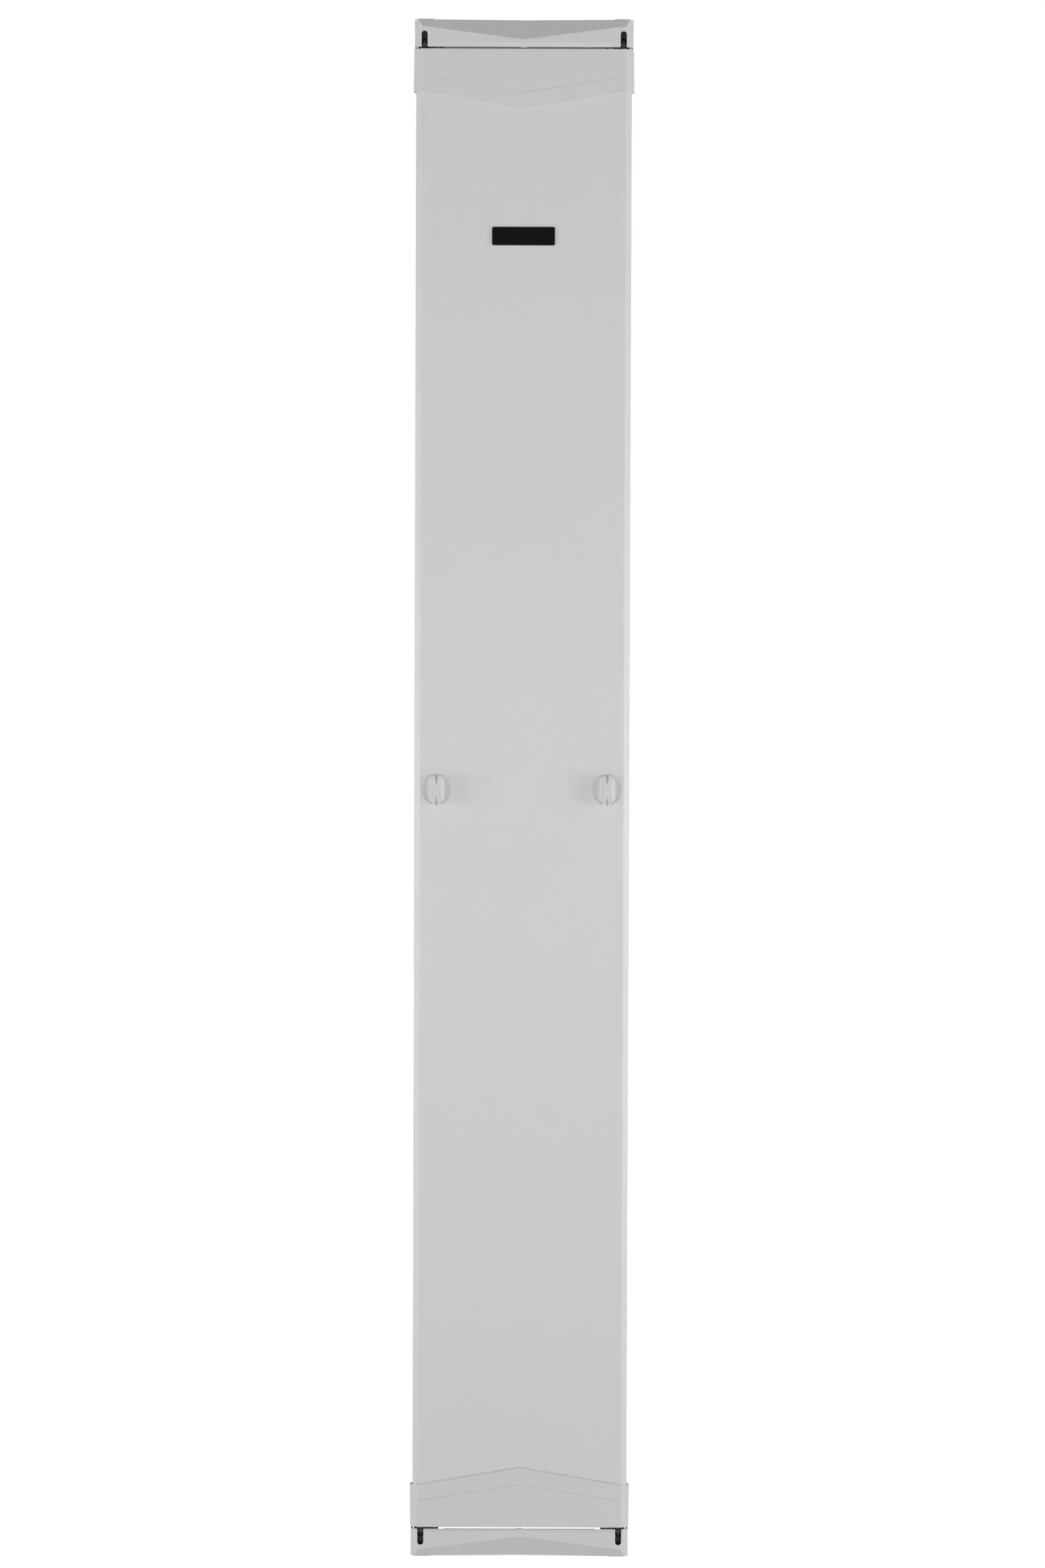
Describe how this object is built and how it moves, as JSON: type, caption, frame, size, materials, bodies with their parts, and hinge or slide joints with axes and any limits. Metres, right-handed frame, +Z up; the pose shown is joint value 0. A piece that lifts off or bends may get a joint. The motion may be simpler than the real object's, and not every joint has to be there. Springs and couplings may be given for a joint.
{
  "type": "vertical cable manager",
  "caption": "Tall, narrow cable trough with rows of side fingers, closed by a plain bevelled door that opens from either side with turn knobs.",
  "frame": {"origin": "on the floor, under the middle of the whole", "axes": "+Z up, -Y towards the door, +X to the right of someone who faces the door"},
  "size_m": [0.305, 0.282, 2.131],
  "materials": {
    "white_paint": "fine satin powder coat",
    "white_plastic": "fine satin moulding",
    "black_plastic": "satin",
    "black_steel": "black oxide",
    "zinc_steel": "zinc plate"
  },
  "bodies": {
    "frame": {"back_panel": "white_paint", "left_side_channel": "white_paint", "right_side_channel": "white_paint", "left_fingers_1": "white_plastic", "left_fingers_2": "white_plastic", "left_fingers_3": "white_plastic", "left_fingers_4": "white_plastic", "left_fingers_5": "white_plastic", "right_fingers_1": "white_plastic", "right_fingers_2": "white_plastic", "right_fingers_3": "white_plastic", "right_fingers_4": "white_plastic", "right_fingers_5": "white_plastic", "top_fascia": "white_plastic", "bottom_fascia": "white_plastic", "top_left_bracket": "white_paint", "top_right_bracket": "white_paint", "bottom_left_bracket": "white_paint", "bottom_right_bracket": "white_paint", "hinge_bushes": "black_plastic", "slack_spool_1": "white_plastic", "slack_spool_2": "white_plastic", "slack_spool_3": "white_plastic", "slack_spool_4": "white_plastic", "pass_through_trim_1": "white_plastic", "pass_through_trim_2": "white_plastic", "pass_through_trim_3": "white_plastic", "panel_screws": "zinc_steel", "finger_screws": "zinc_steel", "bracket_screws": "zinc_steel", "fascia_screws": "zinc_steel", "spool_screws": "zinc_steel"},
    "right_sleeves": {"right_pin_sleeves": "black_plastic"},
    "door": {"door_panel": "white_paint", "top_door_cap": "white_plastic", "bottom_door_cap": "white_plastic", "blank_badge": "black_plastic", "left_gear_case": "white_plastic", "right_gear_case": "white_plastic", "rod_guides": "black_plastic", "cap_screws": "zinc_steel", "left_pin_sleeves": "black_plastic"},
    "left_knob_set": {"left_knob": "white_plastic", "left_pinion": "white_plastic", "left_knob_screw": "zinc_steel"},
    "left_upper_latch": {"left_upper_rack": "white_plastic", "left_upper_rod": "zinc_steel", "left_upper_pin": "black_steel"},
    "left_lower_latch": {"left_lower_rack": "white_plastic", "left_lower_rod": "zinc_steel", "left_lower_pin": "black_steel"},
    "right_knob_set": {"right_knob": "white_plastic", "right_pinion": "white_plastic", "right_knob_screw": "zinc_steel"},
    "right_upper_latch": {"right_upper_rack": "white_plastic", "right_upper_rod": "zinc_steel", "right_upper_pin": "black_steel"},
    "right_lower_latch": {"right_lower_rack": "white_plastic", "right_lower_rod": "zinc_steel", "right_lower_pin": "black_steel"}
  },
  "joints": [
    {"name": "door_swing_left", "type": "hinge", "parent": "frame", "child": "right_sleeves", "pos_m": [-0.1374, -0.119, 1.0655], "axis": [0, 0, 1], "range_deg": [-110, 0]},
    {"name": "door_swing_right", "type": "hinge", "parent": "right_sleeves", "child": "door", "pos_m": [0.1374, -0.119, 1.0655], "axis": [0, 0, 1], "range_deg": [0, 110]},
    {"name": "left_knob_turn", "type": "hinge", "parent": "door", "child": "left_knob_set", "pos_m": [-0.118, -0.119, 1.0655], "axis": [0, -1, 0], "range_deg": [0, 90]},
    {"name": "left_upper_slide", "type": "slide", "parent": "door", "child": "left_upper_latch", "axis": [0, 0, -1], "range_m": [0, 0.01508]},
    {"name": "left_lower_slide", "type": "slide", "parent": "door", "child": "left_lower_latch", "axis": [0, 0, 1], "range_m": [0, 0.01507]},
    {"name": "right_knob_turn", "type": "hinge", "parent": "door", "child": "right_knob_set", "pos_m": [0.118, -0.119, 1.0655], "axis": [0, 1, 0], "range_deg": [0, 90]},
    {"name": "right_upper_slide", "type": "slide", "parent": "door", "child": "right_upper_latch", "axis": [0, 0, -1], "range_m": [0, 0.01508]},
    {"name": "right_lower_slide", "type": "slide", "parent": "door", "child": "right_lower_latch", "axis": [0, 0, 1], "range_m": [0, 0.01507]}
  ],
  "couplings": [
    {"joint": "left_knob_turn", "follows": "left_lower_slide", "rad_per_m": 104.17},
    {"joint": "left_upper_slide", "follows": "left_lower_slide", "ratio": 1},
    {"joint": "right_knob_turn", "follows": "right_lower_slide", "rad_per_m": 104.17},
    {"joint": "right_upper_slide", "follows": "right_lower_slide", "ratio": 1}
  ]
}
